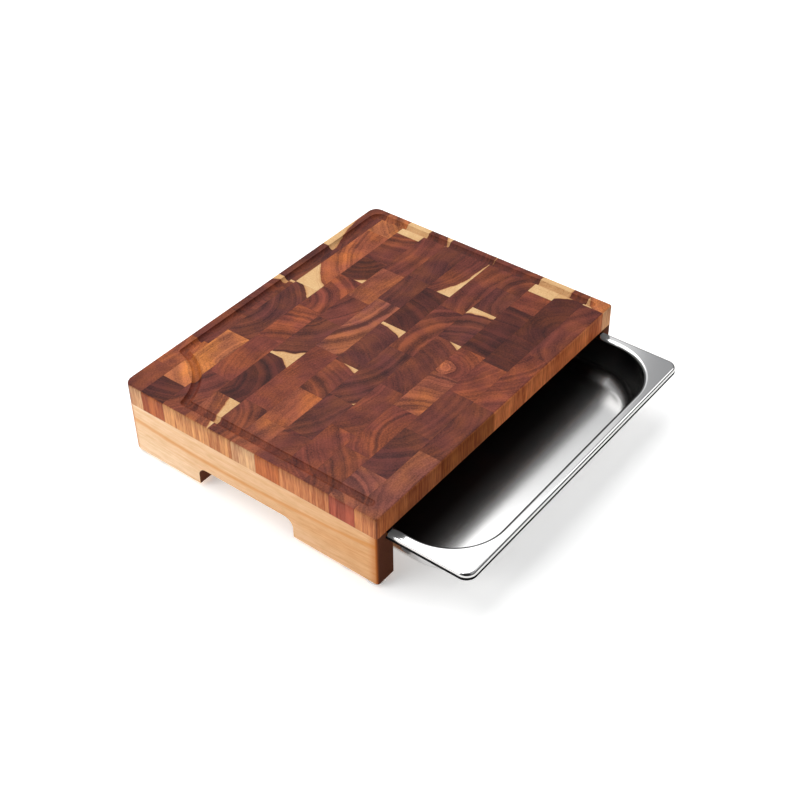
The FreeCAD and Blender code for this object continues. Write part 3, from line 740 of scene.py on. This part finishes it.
def outline_round(inset, corner):
    """X and Y round a rectangle with rounded corners, and the outward direction at each point.

    A corner point is the corner's middle plus its radius along the outward direction (cos a, sin a); a
    side's points run straight from one corner to the next."""
    quarter_turns = np.linspace(0, pi / 2, CORNER_STEPS)
    arcs, facings = [], []
    for quarter in range(4):
        turns = quarter_turns + quarter * pi / 2
        out = np.column_stack([np.cos(turns), np.sin(turns)])
        middle = ((HALF_X - inset - corner) * (1 if quarter in (0, 3) else -1),
                  (HALF_Y - inset - corner) * (1 if quarter in (0, 1) else -1))
        arcs.append(middle + corner * out)
        facings.append(out)
    outline, outward = [], []
    for quarter in range(4):
        following = (quarter + 1) % 4
        side = np.linspace(arcs[quarter][-1], arcs[following][0], SIDE_STEPS + 2)[1:-1]
        outline += [arcs[quarter], side]
        outward += [facings[quarter], np.repeat(facings[quarter][-1:], SIDE_STEPS, axis=0)]
    return np.concatenate(outline), np.concatenate(outward)


def tray_rows(skin):
    """Points, normals and polish of one skin, row by row.

    The normal is the outward direction times the sine of the row's slope, plus straight up times its
    cosine.  The last rows shrink the floor's outline towards its middle."""
    rows, normals, polish = [], [], []
    for inset, height, corner, slope, shine in tray_profile(skin):
        outline, outward = outline_round(inset, corner)
        level = np.ones(len(outline))
        rows.append(np.column_stack([outline, height * level]))
        normals.append(np.column_stack([outward * sin(slope), cos(slope) * level]))
        polish.append(shine * level)
    floor_edge = rows[-1]
    for share in (0.75, 0.5, 0.25):
        rows.append(floor_edge * (share, share, 1))
        normals.append(np.tile((0.0, 0.0, 1.0), (len(level), 1)))
        polish.append(SATIN * level)
    return np.array(rows), np.array(normals), np.array(polish)


show_points, show_normals, show_polish = tray_rows(0)
under_points, under_normals, under_polish = tray_rows(SHEET)
print("show side:", show_points.shape[:2], "rows and points a row")

# %% [markdown]
# Both skins are now grids of points.  They are stacked into one grid, the under skin in reverse, so that it
# begins at the pan's floor and ends at the lip.  The strip between the two floors is left out, the lip's
# edge joins the last row to the first, and a fan of triangles closes each floor's middle.

# %% the tray's faces
skins = np.concatenate([show_points, under_points[::-1]])
facing = np.concatenate([show_normals, -under_normals[::-1]])
polish = np.concatenate([show_polish, np.minimum(under_polish[::-1], SATIN)])
row_total, ring_total = skins.shape[:2]
index = np.arange(row_total * ring_total).reshape(row_total, ring_total)
after = np.roll(index, -1, axis=1)
last_show = len(show_points) - 1
strips = np.stack([index[:-1], after[:-1], after[1:], index[1:]], axis=-1)
quads = np.delete(strips, last_show, axis=0).reshape(-1, 4)
lip_edge = np.stack([index[-1], after[-1], after[0], index[0]], axis=-1)
above = row_total * ring_total
below = above + 1
top_fan = np.column_stack([index[last_show], after[last_show], np.full(ring_total, above)])
under_fan = np.column_stack([after[last_show + 1], index[last_show + 1], np.full(ring_total, below)])
middles = [(0, 0, BOTTOM + SHEET), (0, 0, BOTTOM)]
points = np.concatenate([skins.reshape(-1, 3), middles]) + (TRAY_CENTRE.x, TRAY_CENTRE.y, 0)
facing = np.concatenate([facing.reshape(-1, 3), [(0, 0, 1), (0, 0, -1)]])
polish = np.concatenate([polish.ravel(), [SATIN, SATIN]])
print("grid:", row_total, "rows of", ring_total)

# %% the tray's mesh
mesh = bpy.data.meshes.new("steel_tray")
mesh.from_pydata(points, [], quads.tolist() + lip_edge.tolist() + top_fan.tolist() + under_fan.tolist())
corner_normals = np.concatenate([facing[quads.ravel()], np.tile((0, 0, -1), (lip_edge.size, 1)),
                                 facing[top_fan.ravel()], facing[under_fan.ravel()]])
mesh.normals_split_custom_set(corner_normals.tolist())
layer = mesh.attributes.new("polish", "FLOAT", "POINT")
layer.data.foreach_set("value", polish.astype(np.float32))
tray = new_object("pressed_steel_tray", mesh)
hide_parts("steel_tray")
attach(tray, "tray")
print("tray:", len(mesh.vertices), "points,", len(mesh.polygons), "faces")

# %% [markdown]
# ## Stainless steel
# The flange and the rolled rim are polished by the press tool and mirror the room.  The inside of the pan
# keeps the satin skin of drawn sheet, which spreads a reflection into a soft glow.  One material does both:
# the mesh's polish attribute sets the roughness, and fine scratches along the tray vary it.  A band along
# the lip's lower edge is dull and nearly black, with the metal switched off: a painted reflection of the
# shade under the tray.

# %% the steel material
SCRATCH_SPACING = 0.6667 * MM  # polishing scratches are finer; drawn as coarse as shows
SCRATCHES_DRAWN = (0.05, 1, 1)  # longer along X
SMUDGE_SIZE = 35.71 * MM
SATIN_ROUGH, POLISHED_ROUGH = 0.165, 0.09
UNEVEN = 0.03                  # how much scratches, and then smudges, add to the roughness
BRIGHT_FROM = 0.3              # the polish from which the metal is bare and bright

steel, tree = new_material("stainless_steel_pressed")
place = add(tree, "ShaderNodeTexCoord", out="Object")
polish = add(tree, "ShaderNodeAttribute", out="Fac", attribute_name="polish")
scratch_place = add(tree, "ShaderNodeVectorMath", {0: place, 1: SCRATCHES_DRAWN}, operation="MULTIPLY")
scratches = add(tree, "ShaderNodeTexNoise",
                {"Vector": scratch_place, "Scale": 1 / SCRATCH_SPACING, "Detail": 2})
smudges = add(tree, "ShaderNodeTexNoise", {"Vector": place, "Scale": 1 / SMUDGE_SIZE, "Detail": 3})
rough = add(tree, "ShaderNodeMapRange",
            {0: polish, 1: SATIN, 2: POLISHED, 3: SATIN_ROUGH, 4: POLISHED_ROUGH})
rough = add(tree, "ShaderNodeMath", {0: scratches, 1: UNEVEN, 2: rough}, operation="MULTIPLY_ADD")
rough = add(tree, "ShaderNodeMath", {0: smudges, 1: UNEVEN, 2: rough}, operation="MULTIPLY_ADD")
# where the polish is 0 the metal is off and the colour nearly black: a painted reflection of the shade under
# the tray
is_bright = add(tree, "ShaderNodeMapRange", {0: polish, 1: PAINTED_DARK_EDGE, 2: BRIGHT_FROM},
                interpolation_type="SMOOTHSTEP")
tint = add(tree, "ShaderNodeMix", {0: is_bright, 6: linear("#1c1c1d"), 7: linear("#d5d4d3")},
           out=2, data_type="RGBA")
surface = add(tree, "ShaderNodeBsdfPrincipled",
              {"Base Color": tint, "Metallic": is_bright, "Roughness": rough, "Specular IOR Level": 0.0})
add(tree, "ShaderNodeOutputMaterial", {"Surface": surface})
tray.data.materials.append(steel)
print("steel material:", len(tree.nodes), "nodes")

# %% [markdown]
# ## Screws and foot pads
# Zinc-plated screws hold the rails up against the board; their heads sit at the bottom of bores and are seen
# only from below.  Plating leaves a faint patchwork of crystals.  The foot pads are clear silicone, which
# looks milky and lets light in.

# %% zinc plating
SPANGLE_SIZE = 1.111 * MM

zinc, tree = new_material("zinc_plated_steel")
place = add(tree, "ShaderNodeTexCoord", out="Object")
spangle = add(tree, "ShaderNodeTexVoronoi", {"Vector": place, "Scale": 1 / SPANGLE_SIZE}, out="Color")
spangle = add(tree, "ShaderNodeRGBToBW", {0: spangle})
rough = add(tree, "ShaderNodeMapRange", {0: spangle, 3: 0.28, 4: 0.42})
surface = add(tree, "ShaderNodeBsdfPrincipled",
              {"Base Color": linear("#c9c6bc"), "Metallic": 1.0, "Roughness": rough})
add(tree, "ShaderNodeOutputMaterial", {"Surface": surface})
for side in ("left", "right"):
    finish_node(side + "_rail_screws", zinc)
print("zinc material:", len(tree.nodes), "nodes")

# %% moulded silicone
HAZE_SIZE = 2.5 * MM

silicone, tree = new_material("silicone_clear_moulded")
place = add(tree, "ShaderNodeTexCoord", out="Object")
haze = add(tree, "ShaderNodeTexNoise", {"Vector": place, "Scale": 1 / HAZE_SIZE, "Detail": 2})
rough = add(tree, "ShaderNodeMapRange", {0: haze, 3: 0.20, 4: 0.32})
tint = add(tree, "ShaderNodeMix", {0: haze, 6: linear("#c9c2ba"), 7: linear("#ddd7d0")},
           out=2, data_type="RGBA")
surface = add(tree, "ShaderNodeBsdfPrincipled",
              {"Base Color": tint, "Roughness": rough, "IOR": 1.41, "Transmission Weight": 0.85})
add(tree, "ShaderNodeOutputMaterial", {"Surface": surface})
feet = [end + "_" + side + "_foot" for end in ("front", "back") for side in ("left", "right")]
for node in feet:
    finish_node(node, silicone)
print("feet:", feet)

# %% [markdown]
# ## The studio table
# A product studio sets such a board on opal acrylic lit from below, so that the table comes out white and
# shadows stay faint.  A little Emission on the floor's own shader does the same.

# %% the lit table
FLOOR_SIZE = 8.0
GLOW = 0.36


def flat_mesh(name, corners):
    """A mesh of separate rectangles, four corner points each."""
    made = bpy.data.meshes.new(name)
    made.from_pydata(corners, [], np.arange(len(corners)).reshape(-1, 4).tolist())
    return made


half, table_top = FLOOR_SIZE / 2, cad_low.z
floor_mesh = flat_mesh("floor", [(-half, -half, table_top), (half, -half, table_top),
                                 (half, half, table_top), (-half, half, table_top)])
floor = new_object("floor", floor_mesh)
acrylic, tree = new_material("opal_acrylic_lit")
surface = add(tree, "ShaderNodeBsdfPrincipled",
              {"Base Color": linear("#f7f7f6"), "Roughness": 0.9,
               "Emission Color": linear("#ffffff"), "Emission Strength": GLOW})
add(tree, "ShaderNodeOutputMaterial", {"Surface": surface})
floor_mesh.materials.append(acrylic)
print("table top at", round(table_top / MM, 1), "mm")

# %% [markdown]
# ## A grey card for the steel to mirror
# Polished steel shows whatever stands beside it, and brown wood in a mirror looks like dirt.  A studio holds
# a grey card where the steel looks.  Here the card can stand right before the board's front and the rails'
# ends, because an object can be hidden from each kind of ray: only mirror rays meet this one.

# %% the grey card
CARD_GAP = 0.4 * MM

card_y = BOARD_FRONT - CARD_GAP
board_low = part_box("block_row_01")[0].z
rail_low, rail_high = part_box("left_rail")
cards = [(-BOARD_HALF_WIDTH, BOARD_HALF_WIDTH, board_low, 0.0),     # left, right, low and high
         (rail_low.x, rail_high.x, rail_low.z, board_low),
         (-rail_high.x, -rail_low.x, rail_low.z, board_low)]
corners = []
for left, right, low, high in cards:
    corners += [(left, card_y, low), (right, card_y, low), (right, card_y, high), (left, card_y, high)]
card_mesh = flat_mesh("grey_card", corners)
card = new_object("grey_card", card_mesh)
card.visible_camera = False
card.visible_diffuse = False
card.visible_transmission = False
card.visible_shadow = False
grey, tree = new_material("card_grey_matt")
surface = add(tree, "ShaderNodeBsdfPrincipled",
              {"Base Color": linear("#858585"), "Roughness": 0.9, "Specular IOR Level": 0.0})
add(tree, "ShaderNodeOutputMaterial", {"Surface": surface})
card_mesh.materials.append(grey)
print("card:", len(cards), "rectangles,", CARD_GAP / MM, "mm before the wood")

# %% [markdown]
# ## Five soft lights
# One broad light high at the back gives the flange and the pan something white to mirror, and a smaller one
# carries its edge on to the right.  A soft one on the left brightens the pale rail.  Two small ones on the
# right light the board's front and the far end of the pan; the lower of them is hidden from mirror rays,
# so that it doesn't show as a bright patch in the flange.

# %% the lights
AIM = Vector((-14.9, -38.8, -38.0)) * MM     # the point that the side lights and the camera look at


def soft_light(name, place, aim, width, height, watts, turn=0):
    """A rectangular soft light that shines at aim, turned by an angle about its own beam."""
    light = bpy.data.lights.new(name, "AREA")
    light.shape = "RECTANGLE"
    light.size, light.size_y = width, height
    light.energy = watts
    lamp = new_object(name, light)
    lamp.location = place
    lamp.rotation_mode = "QUATERNION"
    beam = (Vector(aim) - Vector(place)).to_track_quat("-Z", "Y")
    lamp.rotation_quaternion = beam @ Quaternion((0, 0, 1), turn)
    return lamp


# name, place, aim, width, height, watts and turn
lamps = [
    soft_light("overhead_softbox", (0.1, 0.65, 1.5), (0.1, 0.65, 0), 2.3, 1.7, 27),
    soft_light("overhead_edge", (1.575, 1.182, 1.5), (1.575, 1.182, 0), 1.2, 1.2, 2.9, radians(24)),
    soft_light("left_softbox", (-1.1, 0.55, 0.5), AIM, 0.8, 0.6, 7.4),
    soft_light("right_strip", (1.03, -0.72, 0.98), AIM, 0.5, 0.8, 2.2),
    soft_light("right_fill", (0.75, -0.55, 0.32), (0.12, -0.14, -0.03), 0.5, 0.4, 2.0),
]
lamps[-1].visible_glossy = False
print("lights:", [lamp.name for lamp in lamps])

# %% [markdown]
# ## The camera
# It looks down from the front left through a long lens.  Its place is a direction, a height angle and a
# distance from the point it looks at, which are easier to judge than three coordinates.

# %% the camera
CAMERA_AZIMUTH = radians(-51.79)     # from the front, -Y, towards the right
CAMERA_ELEVATION = radians(40.35)
CAMERA_DISTANCE = 1239.8 * MM
CAMERA_ROLL = radians(0.81)
SENSOR_WIDTH, FOCAL_LENGTH = 36, 62.7     # in millimetres, as Blender wants them

camera = bpy.data.cameras.new("camera")
camera.sensor_width = SENSOR_WIDTH
camera.lens = FOCAL_LENGTH
away = Vector((sin(CAMERA_AZIMUTH) * cos(CAMERA_ELEVATION), -cos(CAMERA_AZIMUTH) * cos(CAMERA_ELEVATION),
               sin(CAMERA_ELEVATION)))
viewer = new_object("camera", camera)
viewer.location = AIM + CAMERA_DISTANCE * away
viewer.rotation_mode = "QUATERNION"
viewer.rotation_quaternion = (-away).to_track_quat("-Z", "Y") @ Quaternion((0, 0, 1), -CAMERA_ROLL)
bpy.context.scene.camera = viewer
bpy.context.scene.view_settings.view_transform = "Standard"
print("camera at mm:", [round(v / MM) for v in viewer.location])

# %% [markdown]
# ## The room round the table
# Steel looks like steel only where it has something dark to mirror.  So the room is bright overhead and dim
# towards the horizon, and nearly black on the side the lights don't stand on, which is high at the front
# left.  The dot product of a direction with that side's direction says how near the two are.

# %% the world
SKY_DIM, SKY_BRIGHT = 0.06, 0.5
SKY_FROM, SKY_FULL = 0.25, 0.60       # sines of the height angle between which it brightens
DARK_SIDE = tuple(away)
DARK_FROM, DARK_FULL = 0.72, 0.93     # cosines of the angle from the dark side's middle

world = bpy.data.worlds.new("studio")
bpy.context.scene.world = world
world.use_nodes = True
world.node_tree.nodes.clear()
tree = world.node_tree
direction = add(tree, "ShaderNodeTexCoord", out="Generated")
height = add(tree, "ShaderNodeSeparateXYZ", {0: direction}, out="Z")
sky = add(tree, "ShaderNodeMapRange", {0: height, 1: SKY_FROM, 2: SKY_FULL, 3: SKY_DIM, 4: SKY_BRIGHT},
          interpolation_type="SMOOTHSTEP")
towards = add(tree, "ShaderNodeVectorMath", {0: direction, 1: DARK_SIDE}, out="Value",
              operation="DOT_PRODUCT")
room = add(tree, "ShaderNodeMapRange", {0: towards, 1: DARK_FROM, 2: DARK_FULL, 3: 1, 4: 0.06},
           interpolation_type="SMOOTHSTEP")
glow = add(tree, "ShaderNodeMath", {0: sky, 1: room}, operation="MULTIPLY")
surface = add(tree, "ShaderNodeBackground", {"Color": linear("#f2f4f7"), "Strength": glow})
add(tree, "ShaderNodeOutputWorld", {"Surface": surface})
print("world:", len(tree.nodes), "nodes")
